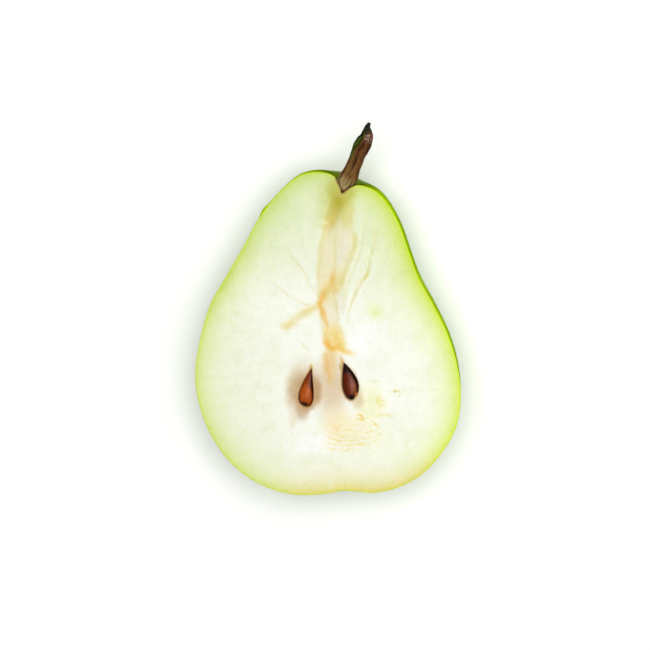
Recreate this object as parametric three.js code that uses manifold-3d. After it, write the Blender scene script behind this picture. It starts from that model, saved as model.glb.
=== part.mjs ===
// Half of a green dessert pear, cut lengthwise with a knife just in front of its core line.
// It lies on its round back with the flat cut face up. The fruit grew as one piece, skin and
// flesh together. The woody stem, the two seeds that the cut laid bare and the dried calyx
// are pieces of their own.
//
// Millimetres. In the fruit's own frame +Y runs along the fruit towards the stem, +X is the
// side with the slimmer cheek, and +Z points out of the cut face, which lies at z = 0. The
// group then stands the part on z = 0, with its origin under the middle of its box.
import * as THREE from 'three';
import { mergeVertices } from 'three/addons/utils/BufferGeometryUtils.js';
import Module from 'manifold-3d';

const wasm = await Module();
wasm.setup();

// ---- Driving dimensions ----------------------------------------------------------------

const FIT_GAP = 0.3; // between a piece and the flesh around it
const MERGE_DISTANCE = 1e-4;

// The cut outline, as ribs from the stem hollow down to the calyx basin. Each rib is
// [right x, right y, left x, left y, depth of the core line behind the cut face].
// The first and last ribs are the notch at the stem and the dimple at the calyx.
const RIBS = [
  [0.7, 50.2, 0.7, 50.2, 3.0],
  [2.9, 52.5, -0.3, 52.8, 3.0],
  [5.6, 53.3, -1.9, 55.5, 3.1],
  [9.1, 51.6, -5.9, 56.7, 3.2],
  [12.4, 48.2, -11.2, 55.3, 3.4],
  [15.2, 42.9, -16.9, 50.9, 3.6],
  [17.2, 36.4, -21.7, 44.5, 3.7],
  [20.3, 29.4, -25.8, 37.0, 3.6],
  [24.4, 22.2, -30.1, 29.4, 3.4],
  [28.2, 14.6, -34.2, 21.5, 3.1],
  [30.8, 6.8, -37.2, 12.6, 2.4],
  [31.8, -1.4, -38.2, 3.2, 0.9],
  [30.6, -9.5, -37.0, -5.2, 0.3],
  [27.2, -16.5, -33.5, -13.0, 0.6],
  [22.2, -22.1, -28.1, -20.1, 1.2],
  [16.0, -25.7, -20.7, -25.3, 2.0],
  [9.6, -27.3, -12.7, -27.8, 2.7],
  [5.0, -27.0, -5.2, -27.8, 3.2],
  [1.3, -26.6, 1.3, -26.6, 3.4],
];
const RIB_STEPS = 4; // rings between one rib and the next
const RING_POINTS = 60;
const ROUNDNESS = 0.98; // how deep a section is for its width
const LUMP = 0.012; // share by which the sections swell and sink
const PRESSED = 0.5; // how far ripe flesh is pressed flat where the half rests on its back
const HOLLOW_FLOOR = [[0.45, 0.5], [0.75, 0.3], [0.96, 0.1]]; // [share of the rim, depth]
const BASIN_FLOOR = [[0.97, 0.4], [0.85, 1.5], [0.5, 2.3], [0.2, 2.5]];

// The stem's stations from the root buried in the flesh to the broken tip:
// [x, y, z, half width, half thickness].
const STEM = [
  [0.9, 48.7, -3.1, 0.9, 0.9],
  [1.0, 50.6, -3.0, 1.3, 1.3],
  [1.4, 52.3, -2.9, 2.1, 1.9],
  [1.9, 54.1, -2.8, 2.3, 2.0],
  [2.7, 56.4, -2.7, 1.95, 1.8],
  [3.9, 59.4, -2.7, 1.85, 1.7],
  [5.0, 62.3, -2.6, 2.15, 1.8],
  [6.0, 64.8, -2.5, 2.25, 1.9],
  [6.7, 66.5, -2.4, 1.7, 1.6],
  [7.2, 67.9, -2.4, 0.8, 0.9],
  [7.7, 69.4, -2.4, 0.35, 0.4],
];
const STEM_STEPS = 2;
const STEM_POINTS = 14;

// Seeds lie flat in the cut face with their tips towards the stem. `blunt` moves the widest
// place along the seed and `full` fills out its shoulders; `bow` bends its middle sideways.
const SEEDS = [
  {
    name: 'seed_left', foot: [-8.77, -4.9], tip: [-7.6, 5.0],
    halfWidth: 1.95, halfThickness: 1.25, blunt: 0.6, full: 1.2, bow: -0.34,
    color: 0xa8501f,
  },
  {
    name: 'seed_right', foot: [3.43, -3.1], tip: [1.2, 6.5],
    halfWidth: 2.15, halfThickness: 1.3, blunt: 0.68, full: 0.85, bow: 0.5,
    color: 0x5a2415,
  },
];
const SEED_DEPTH = 1.6; // from the cut face down to the middle of a seed
const SEED_RINGS = 13;
const SEED_POINTS = 14;
const POCKET_TOP = 2; // how far above the cut face a pocket's cutter reaches

const SEPALS = 5;
const CALYX = { radius: 2.55, waist: 1.1, thickness: 0.7, stubRadius: 0.8, stubLength: 0.8 };
const CALYX_INSET = 0.35; // from the plane of the basin's mouth up to the sepals

const COLORS = { fruit: 0xdfe6a2, stem: 0x6b4a2c, calyx: 0x4a3524 };

// ---- Shapes ----------------------------------------------------------------------------

// A closed solid through a stack of rings, each ring turning anticlockwise about the way the
// stack runs. The two ends are closed by fans.
function loft(rings) {
  const size = rings[0].length;
  const points = rings.flat();
  const faces = [];
  for (let i = 0; i + 1 < rings.length; i += 1) {
    for (let j = 0; j < size; j += 1) {
      const here = i * size + j;
      const next = i * size + ((j + 1) % size);
      faces.push(here, next, next + size, here, next + size, here + size);
    }
  }
  const middleOf = (ring) => ring
    .reduce((sum, point) => sum.add(point), new THREE.Vector3())
    .divideScalar(size);
  const last = (rings.length - 1) * size;
  points.push(middleOf(rings[0]), middleOf(rings[rings.length - 1]));
  for (let j = 0; j < size; j += 1) {
    const next = (j + 1) % size;
    faces.push(points.length - 2, next, j);
    faces.push(points.length - 1, last + j, last + next);
  }
  const geometry = new THREE.BufferGeometry().setFromPoints(points);
  geometry.setIndex(faces);
  return geometry;
}

function solidOf(geometry) {
  const bare = geometry.clone();
  bare.deleteAttribute('normal');
  bare.deleteAttribute('uv');
  const merged = mergeVertices(bare, MERGE_DISTANCE);
  return new wasm.Manifold(new wasm.Mesh({
    numProp: 3,
    vertProperties: merged.attributes.position.array,
    triVerts: new Uint32Array(merged.index.array),
  }));
}

function geometryOf(solid) {
  const mesh = solid.getMesh();
  const geometry = new THREE.BufferGeometry();
  geometry.setAttribute('position', new THREE.BufferAttribute(mesh.vertProperties, 3));
  geometry.setIndex(new THREE.BufferAttribute(mesh.triVerts, 1));
  geometry.computeVertexNormals();
  return geometry;
}

function piece(name, geometry, color, roughness) {
  const material = new THREE.MeshStandardMaterial({ color, roughness, metalness: 0 });
  const mesh = new THREE.Mesh(geometry, material);
  mesh.name = name;
  return mesh;
}

// Angles of a ring, evenly round the turn.
function turn(count) {
  return Array.from({ length: count }, (_, j) => (2 * Math.PI * j) / count);
}

// ---- The fruit -------------------------------------------------------------------------

// A side of the cut outline as a smooth curve; its z holds the core line's depth.
function side(column) {
  const points = RIBS.map((rib) => new THREE.Vector3(rib[column], rib[column + 1], rib[4]));
  return new THREE.CatmullRomCurve3(points, false, 'catmullrom', 0.5);
}

const rightSide = side(0);
const leftSide = side(2);

// The whole fruit's section at a place from 0 at the stem to 1 at the calyx: a ring round the
// core line that meets the cut face at the outline. `share` shrinks it about the core line and
// `rise` lifts it along the fruit, for the floors of the stem hollow and the calyx basin.
function fruitRing(place, share = 1, rise = 0) {
  const right = rightSide.getPoint(place);
  const left = leftSide.getPoint(place);
  const depth = right.z;
  const middle = right.clone().add(left).multiplyScalar(0.5).setZ(-depth);
  const across = right.clone().sub(left).setZ(0);
  const halfWidth = across.length() / 2;
  const direction = halfWidth > 0.05 ? across.normalize() : new THREE.Vector3(1, 0, 0);
  const radius = Math.hypot(halfWidth, depth);
  return turn(RING_POINTS).map((angle) => {
    const behind = Math.max(0, -Math.sin(angle));
    const swell = 1 + LUMP * behind * behind * Math.cos(3 * angle + 9 * place);
    const reach = radius * share * swell;
    const deep = reach * Math.sin(angle) * (1 - (1 - ROUNDNESS) * behind);
    return middle.clone()
      .addScaledVector(direction, reach * Math.cos(angle))
      .add(new THREE.Vector3(0, rise, deep));
  });
}

function wholeFruit() {
  const spans = (RIBS.length - 1) * RIB_STEPS;
  const body = [];
  for (let i = 1; i < spans; i += 1) {
    body.push(fruitRing(i / spans));
  }
  return loft([
    ...HOLLOW_FLOOR.map(([share, depth]) => fruitRing(0, share, -depth)),
    ...body,
    ...BASIN_FLOOR.map(([share, depth]) => fruitRing(1, share, depth)),
  ]);
}

// ---- The stem --------------------------------------------------------------------------

// Sections square to the stem's own line, widened all round by `extra`.
function stemRings(extra = 0) {
  const line = new THREE.CatmullRomCurve3(
    STEM.map(([x, y, z]) => new THREE.Vector3(x, y, z)), false, 'catmullrom', 0.5);
  const girth = new THREE.CatmullRomCurve3(
    STEM.map(([, , , wide, thick]) => new THREE.Vector3(wide, thick, 0)), false, 'catmullrom', 0.5);
  const spans = (STEM.length - 1) * STEM_STEPS;
  const up = new THREE.Vector3(0, 0, 1);
  const rings = [];
  for (let i = 0; i <= spans; i += 1) {
    const centre = line.getPoint(i / spans);
    const ahead = line.getTangent(i / spans);
    const sideways = new THREE.Vector3().crossVectors(ahead, up).normalize();
    const upwards = new THREE.Vector3().crossVectors(sideways, ahead);
    const size = girth.getPoint(i / spans);
    if (i === 0) centre.addScaledVector(ahead, -extra);
    rings.push(turn(STEM_POINTS).map((angle) => centre.clone()
      .addScaledVector(sideways, -(size.x + extra) * Math.cos(angle))
      .addScaledVector(upwards, -(size.y + extra) * Math.sin(angle))));
  }
  return rings.map((ring) => ring.reverse());
}

// ---- The seeds -------------------------------------------------------------------------

// A teardrop along the seed's line: half width goes as sin(pi s^blunt)^full from the foot at
// s = 0 to the tip at s = 1. With `open`, the upper half of each section is drawn straight up
// past the cut face, which makes the cutter for the seed's pocket.
function seedRings(seed, extra = 0, open = false) {
  const foot = new THREE.Vector3(seed.foot[0], seed.foot[1], -SEED_DEPTH);
  const tip = new THREE.Vector3(seed.tip[0], seed.tip[1], -SEED_DEPTH);
  const along = tip.clone().sub(foot).normalize();
  foot.addScaledVector(along, -extra);
  tip.addScaledVector(along, extra);
  const sideways = new THREE.Vector3(along.y, -along.x, 0);
  const rings = [];
  for (let i = 1; i < SEED_RINGS; i += 1) {
    const s = (1 - Math.cos((Math.PI * i) / SEED_RINGS)) / 2;
    const swell = Math.sin(Math.PI * s ** seed.blunt) ** seed.full;
    const wide = seed.halfWidth * swell + extra;
    const thick = seed.halfThickness * swell + extra;
    const centre = foot.clone().lerp(tip, s)
      .addScaledVector(sideways, seed.bow * Math.sin(Math.PI * s));
    rings.push(turn(SEED_POINTS).map((angle) => {
      const height = Math.sin(angle);
      const lifted = open && height > -1e-9;
      return centre.clone()
        .addScaledVector(sideways, -wide * Math.cos(angle))
        .setZ(lifted ? POCKET_TOP : thick * height - SEED_DEPTH);
    }));
  }
  return rings;
}

// ---- The calyx -------------------------------------------------------------------------

// Five dried sepals spread flat in the basin, with the short stub that they grow from. It is
// drawn in a plane and then turned to face down the fruit.
function calyxGeometry() {
  const star = new THREE.Shape();
  for (let k = 0; k < SEPALS; k += 1) {
    const tipAngle = (2 * Math.PI * k) / SEPALS;
    const valleyAngle = tipAngle + Math.PI / SEPALS;
    const tip = [CALYX.radius * Math.cos(tipAngle), CALYX.radius * Math.sin(tipAngle)];
    const valley = [CALYX.waist * Math.cos(valleyAngle), CALYX.waist * Math.sin(valleyAngle)];
    if (k === 0) star.moveTo(...tip);
    else star.lineTo(...tip);
    star.lineTo(...valley);
  }
  star.closePath();
  const sepals = new THREE.ExtrudeGeometry(star, { depth: CALYX.thickness, bevelEnabled: false });
  const stubHeight = CALYX.stubLength + CALYX.thickness / 2;
  const stub = new THREE.CylinderGeometry(CALYX.stubRadius, CALYX.stubRadius, stubHeight, 12);
  stub.rotateX(Math.PI / 2);
  stub.translate(0, 0, CALYX.thickness / 2 + stubHeight / 2);
  const joined = geometryOf(solidOf(sepals).add(solidOf(stub)));
  joined.rotateX(-Math.PI / 2);
  return joined;
}

// ---- Assembly --------------------------------------------------------------------------

const SLAB = { wide: 120, long: 140, thick: 60 }; // larger than the fruit every way

const knifedAway = new THREE.BoxGeometry(SLAB.wide, SLAB.long, SLAB.thick)
  .translate(0, 0, SLAB.thick / 2);
let fruit = solidOf(wholeFruit()).subtract(solidOf(knifedAway));

const back = geometryOf(fruit);
back.computeBoundingBox();
const board = new THREE.BoxGeometry(SLAB.wide, SLAB.long, SLAB.thick)
  .translate(0, 0, back.boundingBox.min.z + PRESSED - SLAB.thick / 2);
fruit = fruit.subtract(solidOf(board));
fruit = fruit.subtract(solidOf(loft(stemRings(FIT_GAP))));
for (const seed of SEEDS) {
  fruit = fruit.subtract(solidOf(loft(seedRings(seed, FIT_GAP, true))));
}

const calyx = piece('calyx', calyxGeometry(), COLORS.calyx, 0.9);
const basin = RIBS[RIBS.length - 1];
calyx.position.set(basin[0], basin[1] + CALYX_INSET, -basin[4]);

const group = new THREE.Group();
group.add(
  piece('pear_half', geometryOf(fruit), COLORS.fruit, 0.45),
  piece('stem', loft(stemRings()), COLORS.stem, 0.85),
  ...SEEDS.map((seed) => piece(seed.name, loft(seedRings(seed)), seed.color, 0.35)),
  calyx,
);

// Stand it on z = 0, with the origin under the middle of its box.
group.updateMatrixWorld(true);
const box = new THREE.Box3().setFromObject(group);
const middle = box.getCenter(new THREE.Vector3());
group.position.set(-middle.x, -middle.y, -box.min.z);

export default group;
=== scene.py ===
import bpy
import numpy as np
from mathutils import Matrix, Vector


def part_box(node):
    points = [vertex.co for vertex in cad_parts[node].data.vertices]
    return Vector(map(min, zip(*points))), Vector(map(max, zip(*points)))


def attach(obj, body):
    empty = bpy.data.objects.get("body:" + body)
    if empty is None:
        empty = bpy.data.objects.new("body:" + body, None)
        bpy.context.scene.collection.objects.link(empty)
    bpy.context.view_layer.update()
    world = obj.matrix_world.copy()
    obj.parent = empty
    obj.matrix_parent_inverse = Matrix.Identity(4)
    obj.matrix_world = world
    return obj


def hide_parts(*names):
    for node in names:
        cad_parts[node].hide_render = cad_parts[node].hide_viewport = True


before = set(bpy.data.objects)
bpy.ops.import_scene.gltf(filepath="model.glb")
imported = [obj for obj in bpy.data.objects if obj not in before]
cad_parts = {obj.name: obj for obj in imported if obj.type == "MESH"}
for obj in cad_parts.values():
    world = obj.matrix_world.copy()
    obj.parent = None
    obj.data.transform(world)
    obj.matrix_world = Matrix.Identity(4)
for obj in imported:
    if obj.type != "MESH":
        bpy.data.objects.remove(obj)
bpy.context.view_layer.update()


# ---- The fruit: its form ----------------------------------------------------------------
# Half a dessert pear, cut lengthwise with one knife stroke just in front of its core line.
# Skin and flesh grew as one piece. It lies on its back, which is pressed a little flat.

MM = 0.001

# The cut outline as ribs from the stem hollow to the calyx basin, in the fruit's own
# millimetres: right x, right y, left x, left y, depth of the core line behind the cut.
RIBS = np.array([
    [0.8, 51.2, 0.8, 51.2, 3.0],
    [2.8, 52.6, -0.1, 53.7, 3.0],
    [5.4, 53.4, -1.6, 55.9, 3.1],
    [9.4, 52.0, -5.9, 56.7, 3.2],
    [12.9, 48.5, -11.0, 55.4, 3.4],
    [15.9, 43.1, -16.5, 50.5, 3.6],
    [18.2, 36.7, -21.3, 44.2, 3.7],
    [20.95, 29.5, -25.4, 36.8, 3.6],
    [24.95, 22.3, -29.8, 29.3, 3.4],
    [28.7, 14.7, -34.2, 21.5, 3.1],
    [31.15, 6.8, -36.85, 12.5, 2.4],
    [32.1, -1.4, -38.2, 3.2, 0.9],
    [30.9, -9.5, -37.0, -5.2, 0.3],
    [27.0, -16.4, -33.7, -13.3, 0.6],
    [21.95, -21.9, -28.3, -20.4, 1.2],
    [15.9, -25.4, -20.9, -25.5, 2.0],
    [9.6, -27.0, -12.7, -27.9, 2.7],
    [5.0, -26.8, -5.2, -27.8, 3.2],
    [1.3, -26.6, 1.3, -26.6, 3.4],
])


def smooth(low, high, value):
    """3t^2 - 2t^3, with t the way from low to high: 0 up to low and 1 past high. Where low is
    the larger of the two, it falls as value grows."""
    t = np.clip((value - low) / (high - low), 0, 1)
    return t * t * (3 - 2 * t)


def through(points, t):
    """Uniform Catmull-Rom curve through the rows of points, t from 0 at the first to 1 at the
    last. The curve's two outer helpers are the end points' neighbours, reflected."""
    points = np.asarray(points, float)
    p = np.vstack([2 * points[0] - points[1], points, 2 * points[-1] - points[-2]])
    s = np.clip(t, 0, 1) * (len(points) - 1)
    i = np.minimum(s.astype(int), len(points) - 2)
    f = (s - i)[..., None]
    a, b, c, d = p[i], p[i + 1], p[i + 2], p[i + 3]
    bend = (2 * a - 5 * b + 4 * c - d) * f**2 + (3 * b - a - 3 * c + d) * f**3
    return 0.5 * (2 * b + (c - a) * f + bend)


def outline(places):
    """Right and left points of the cut outline, and the core line's depth, at these places."""
    rib = through(RIBS, places)
    return rib[..., 0:2], rib[..., 2:4], rib[..., 4]


def even_places(rows):
    """Places from 0 to 1 whose rim points lie evenly along the outline: the running length of
    the right and left sides, turned round."""
    fine = np.linspace(0, 1, 4000)
    right, left, _ = outline(fine)
    steps = np.hypot(*np.diff(right, axis=0).T) + np.hypot(*np.diff(left, axis=0).T)
    run = np.concatenate([[0], np.cumsum(steps)])
    return np.interp(np.linspace(0, run[-1], rows), run, fine)


THREE_SIDED = 0.012  # how far the back's section leaves a circle, as a share of its radius
FLATTER = 0.02  # how much flatter than a circle the back is
DENT = 0.16  # depth of the shallow dents in the back
TUCK = 0.4  # how far the right cheek draws in under the knife's edge
LUMP, LUMP_PLACE, LUMP_WIDTH = 0.5, 0.313, 0.013  # the small lump on the left shoulder
CREST = 0.8  # how far the flesh stands up behind the stem


def tucked(reach, place, below, side, half):
    """The section's reach. On the right it draws in by the tuck, which is full from 3 mm below
    the rim. On the left it swells as lump exp(-((place - lump place) / lump width)^2), which
    ends 7 mm below the rim."""
    reach = reach - TUCK * smooth(0, 3, below) * smooth(-0.2, 0.5, side) * smooth(1, 4, half)
    lump = np.exp(-(((place - LUMP_PLACE) / LUMP_WIDTH) ** 2))
    lump = lump * smooth(0, 1.2, below) * smooth(7, 2.5, below)
    return reach + LUMP * lump * smooth(-0.3, -0.8, side)


def crest(place, below, side):
    """How far the flesh stands up behind the stem. It is highest in the middle of the back, full
    from 3.5 to 9 mm below the cut, and gone 17 mm below it and past the fruit's first quarter."""
    deep = smooth(0, 3.5, below) * smooth(17, 9, below)
    along = smooth(0.01, 0.05, place) * smooth(0.26, 0.16, place)
    across = (0.35 + 0.65 * smooth(-1, -0.4, side)) * (1 - 0.5 * smooth(0, 0.6, side))
    return CREST * deep * along * across


def skin_surface(place, across, share=1.0, rise=0.0):
    """The fruit's outside. At each place the section is a circle about the core line that meets
    the cut face at the outline: radius = hypot(half chord, depth), angle from the right rim
    (across = 0) round the back to the left rim (across = 1). The back swells as
    cos(3 angle + 9 place), is a little flattened and has shallow dents. share shrinks the circle
    about the core line and rise moves it along the fruit, for the hollow and the basin."""
    right, left, depth = outline(place)
    middle = (right + left) / 2
    chord = right - left
    half = np.hypot(chord[..., 0], chord[..., 1]) / 2
    unit = np.where(half[..., None] > 0.05, chord / np.maximum(2 * half, 1e-9)[..., None], [1.0, 0.0])
    radius = np.hypot(half, depth)
    lean = np.arcsin(np.clip(depth / radius, -1, 1))
    angle = lean - (np.pi + 2 * lean) * across
    behind = np.maximum(0, -np.sin(angle))
    swell = 1 + THREE_SIDED * behind**2 * np.cos(3 * angle + 9 * place)
    reach = radius * share * swell
    below = depth - reach * np.sin(angle)
    side = np.cos(angle)
    reach = tucked(reach, place, below, side, half)
    x = middle[..., 0] + unit[..., 0] * reach * side
    y = middle[..., 1] + unit[..., 1] * reach * side + rise + crest(place, below, side)
    z = reach * np.sin(angle) * (1 - FLATTER * behind) - depth
    dent = DENT * behind * np.sin(0.21 * x + 0.33 * y) * np.sin(0.27 * y - 0.19 * x + 1.3)
    return np.stack([x, y, z + dent], -1)


ROWS, COLUMNS = 230, 140
# Floors of the stem hollow, from its middle out, and of the calyx basin, from its rim in:
# share of the end ring's radius and height along the fruit.
HOLLOW_FLOOR = [(0.18, -0.55), (0.45, -0.5), (0.75, -0.3), (0.92, -0.12)]
BASIN_FLOOR = [(0.97, 0.4), (0.92, 0.95), (0.85, 1.5), (0.68, 2.0), (0.5, 2.3), (0.2, 2.5)]

fruit_low, fruit_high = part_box("pear_half")
places = even_places(ROWS)
rim_right, rim_left, _ = outline(places)
# The fruit's own millimetres lie in the frame where the outline's box meets the solid's box.
PLACE = np.array([
    fruit_low.x / MM - rim_left[:, 0].min(),
    fruit_high.y / MM - rim_left[:, 1].max(),
    fruit_high.z / MM,
])
SEAT = (fruit_low.z - fruit_high.z) / MM
SEAT_EDGE = 0.06  # how softly the flat on the back turns into the round
FAR_OVER = 30  # past this many times the seat's edge, the back isn't changed


def pressed(points):
    """The back pressed flat on the seat: z = seat + k log(1 + exp((z - seat) / k)), with k the
    softness of the seat's edge."""
    over = (points[..., 2] - SEAT) / SEAT_EDGE
    flat = np.log1p(np.exp(np.minimum(over, FAR_OVER)))
    lifted = SEAT + SEAT_EDGE * np.where(over > FAR_OVER, over, flat)
    return np.concatenate([points[..., :2], lifted[..., None]], -1)


# ---- The fruit: its cut face ------------------------------------------------------------
# The knife laid bare the pale flesh, the core line with its fibres, and two seed pockets. The
# pockets are soft-lipped troughs with the thin tough core wall as their lining.

SEED_DEPTH = 1.6  # the seeds' middles lie this far behind the knife's plane
# wide and thick are half sizes. A small blunt puts the widest place nearer the foot.
SEEDS = {
    "seed_left": dict(
        foot=(-9.05, -4.75), tip=(-7.3, 5.4), wide=1.98, thick=1.25, blunt=0.5, full=0.96, bow=-0.26),
    "seed_right": dict(
        foot=(3.3, -2.75), tip=(1.2, 6.95), wide=2.15, thick=1.3, blunt=0.68, full=0.85, bow=0.5),
}


def seed_frame(seed, grow=0.0):
    """Foot and tip of a seed's line, each moved out by grow, and the two directions along it and
    to its right."""
    foot, tip = np.array(seed["foot"]), np.array(seed["tip"])
    along = (tip - foot) / np.hypot(*(tip - foot))
    return foot - along * grow, tip + along * grow, along, np.array([along[1], -along[0]])


def seed_line(seed, s, grow=0.0):
    """Middle of a seed, and its share of its full width, at s from its foot, 0, to its tip, 1.
    The share is sin(pi s^blunt)^full, and the middle bows sideways as sin(pi s)."""
    foot, tip, along, right = seed_frame(seed, grow)
    middle = foot + np.outer(s, tip - foot) + np.outer(seed["bow"] * np.sin(np.pi * s), right)
    swell = np.clip(np.sin(np.pi * s ** seed["blunt"]), 0, 1) ** seed["full"]
    return middle, swell


def distance_to(xy, path):
    """Distance from every point to the nearest point of a path, in blocks that fit in memory."""
    return np.concatenate([
        np.hypot(block[:, None, 0] - path[None, :, 0], block[:, None, 1] - path[None, :, 1]).min(1)
        for block in np.array_split(xy, max(1, len(xy) * len(path) // 4_000_000))
    ])


def pocket_distance(xy, seed, grow):
    """Distance to a pocket's outline, below zero inside it. The outline is the seed's own, grown."""
    s = (1 - np.cos(np.linspace(0, np.pi, 90))) / 2
    middle, swell = seed_line(seed, s, grow)
    _, _, along, right = seed_frame(seed)
    half = seed["wide"] * swell + grow * np.sqrt(np.sin(np.pi * s))
    edge = np.vstack([middle + half[:, None] * right, (middle - half[:, None] * right)[::-1]])
    edge = through(edge, np.linspace(0, 1, 900))
    from_foot = xy - middle[0]
    run = from_foot @ along / np.hypot(*(middle[-1] - middle[0]))
    inside_s = np.clip(run, 0, 1)
    bow = seed["bow"] * np.sin(np.pi * inside_s)
    inside = (run > 0) & (run < 1) & (np.abs(from_foot @ right - bow) < np.interp(inside_s, s, half))
    return np.where(inside, -1, 1) * distance_to(xy, edge)


POCKET_GROW = 0.12
POCKET_DEPTH = 3.1
LIP, LIP_DROP = 0.4, 0.12
WALL = 1.2  # how far in from the outline the pocket's wall turns into its bottom


def pocket_relief(gap):
    """Depth of a pocket: a rounded lip outside its outline, drop (1 - gap / lip)^2, then a steep
    wall and a round bottom, depth sqrt(1 - (1 - t)^2) with t the way in across the wall."""
    lip = LIP_DROP * np.clip(1 - gap / LIP, 0, 1) ** 2
    t = np.clip(-gap / WALL, 0, 1)
    return np.where(gap > 0, lip, LIP_DROP + POCKET_DEPTH * np.sqrt(1 - (1 - t) ** 2))


def stroke(xy, points, half_width, feather):
    """A soft band about the curve through the points: share exp(-((d - half width) / feather)^2)
    with d the distance to the curve. Each point is x, y and, if given, its share, from 0 to 1."""
    points = np.array([(*p, 1.0) if len(p) == 2 else p for p in points], float)
    length = np.hypot(*np.diff(points[:, :2], axis=0).T).sum()
    path = through(points, np.linspace(0, 1, max(8, int(4 * length))))
    value = np.zeros(len(xy))
    for x, y, share in path:
        far = np.maximum(0, np.hypot(xy[:, 0] - x, xy[:, 1] - y) - half_width * share)
        value = np.maximum(value, share * np.exp(-((far / feather) ** 2)))
    return np.clip(value, 0, 1)


def patchy(xy, seed):
    """Uneven strength from about 0.45 to 1: products of sines of several lengths."""
    x, y = xy.T
    a = np.sin(1.3 * x + 0.8 * y + seed) * np.sin(1.1 * y - 1.7 * x + 2 * seed)
    b = np.sin(3.1 * x - 2.3 * y + 3 * seed) * np.sin(2.7 * y + 1.9 * x + seed)
    return 0.75 + 0.17 * a + 0.13 * b


def wander(xy, reach):
    """Points moved a little this way and that, by sines of several lengths, so that no drawn
    edge on the flesh is a ruled one."""
    x, y = xy.T
    dx = np.sin(1.9 * y + 0.7 * x) + 0.6 * np.sin(4.3 * y - 2.9 * x + 1) + 0.4 * np.sin(9.1 * x + 6.7 * y)
    dy = np.sin(1.7 * x - 0.9 * y + 2) + 0.6 * np.sin(3.7 * x + 3.1 * y) + 0.4 * np.sin(8.3 * y - 5.9 * x)
    return xy + reach * np.stack([dx, dy], -1)


GROOVE_DEPTH = 0.4
SLACK = 0.05  # how far the softer core has sunk
GROOVE = [(-0.4, 48.8, 0.5), (-1.1, 46.8), (-1.9, 44.4), (-2.8, 42.0, 0.6), (-3.6, 39.6, 0.2)]
# Creases that the fibres leave: depth, feather and points.
CREASES = [
    (0.07, 0.3, [
        (10.2, 42.9, 0.4), (9.5, 38.8), (8.4, 36.1), (7.7, 32.0), (5.7, 28.3), (3.6, 24.0),
        (2.1, 20.2, 0.5),
    ]),
    (0.06, 0.3, [(7.4, 45.2, 0.3), (6.2, 41.0), (5.6, 37.0), (4.4, 33.0), (2.6, 29.2), (1.0, 26.2, 0.5)]),
    (0.05, 0.3, [(8.6, 29.4, 0.4), (7.4, 27.4), (6.0, 25.2), (5.0, 23.0, 0.4)]),
    (0.05, 0.3, [
        (-13.4, 35.6, 0.3), (-11.6, 33.5), (-10.0, 31.6), (-8.7, 30.1), (-7.9, 27.5), (-5.1, 24.1),
    ]),
    (0.08, 0.35, [(3.9, 40.6, 0.5), (3.6, 38.0), (3.0, 35.6), (2.0, 33.4), (1.0, 31.0), (0.0, 27.0, 0.5)]),
]


def relief(xy, gaps):
    """How far the cut face lies below the knife's plane: the pockets, the hollow groove that
    runs on from the stem, the creases of the fibres, and the slack of the softer core."""
    deep = sum(pocket_relief(gap) for gap in gaps)
    deep = deep + GROOVE_DEPTH * stroke(xy, GROOVE, 0.4, 1.4) * smooth(51.0, 48.6, xy[:, 1])
    for depth, feather, points in CREASES:
        deep = deep + depth * stroke(wander(xy, 0.1), points, 0.05, feather) * patchy(xy, 2.0)
    return deep + SLACK * smooth(14, 6, np.hypot(xy[:, 0] + 2.6, xy[:, 1] + 1))


# ---- The fruit: the colours of its cut face ----------------------------------------------
# The flesh is cream white, greener towards the skin and up the neck, gold along the bottom
# rim, and browned by the air along the core line and about the seeds. The fold under the stem
# carries painted shade.


def blend(colour, other, amount):
    """colour moved towards other by amount, point by point."""
    return colour + (np.array(other, float) - colour) * np.asarray(amount)[..., None]


def flesh_ground(xy, rim):
    """The flesh without its marks. From the rim inwards it loses its green as
    near exp(-rim / 3.2 mm) + far exp(-rim / 11 mm) + crisp exp(-rim / 0.45 mm). near and far
    differ on the two sides and along the bottom, near also on the neck and the left shoulder,
    and the flesh between them is greener up the neck."""
    x, y = xy.T
    right = smooth(-8, 20, x)
    bottom = smooth(-13, -24, y) * smooth(-22, -8, x)
    neck = smooth(28, 46, y) * smooth(12, -4, x)
    near = blend(np.tile([23.0, 13, 78], (len(x), 1)), (32, 15, 150), right)
    near = blend(blend(near, (19, 34, 122), bottom), (26, 13, 78), neck)
    near = blend(near, (40, 26, 122), np.exp(-((x + 31) ** 2 + (y - 28) ** 2) / 130))
    far = blend(blend(np.tile([9.0, 6, 22], (len(x), 1)), (3, 1, 7), right), (4, 3, 8), bottom)
    middle = blend(np.tile([249.0, 250, 242], (len(x), 1)), (234, 239, 214), smooth(14, 44, y + 0.25 * x))
    middle = blend(middle, (245, 247, 234), smooth(-6, -26, x) * smooth(30, 5, y))
    crisp = np.array([2.0, 0, 48])
    colour = middle - near * np.exp(-rim / 3.2)[:, None] - far * np.exp(-rim / 11)[:, None]
    return colour - crisp * np.exp(-rim / 0.45)[:, None]


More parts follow.
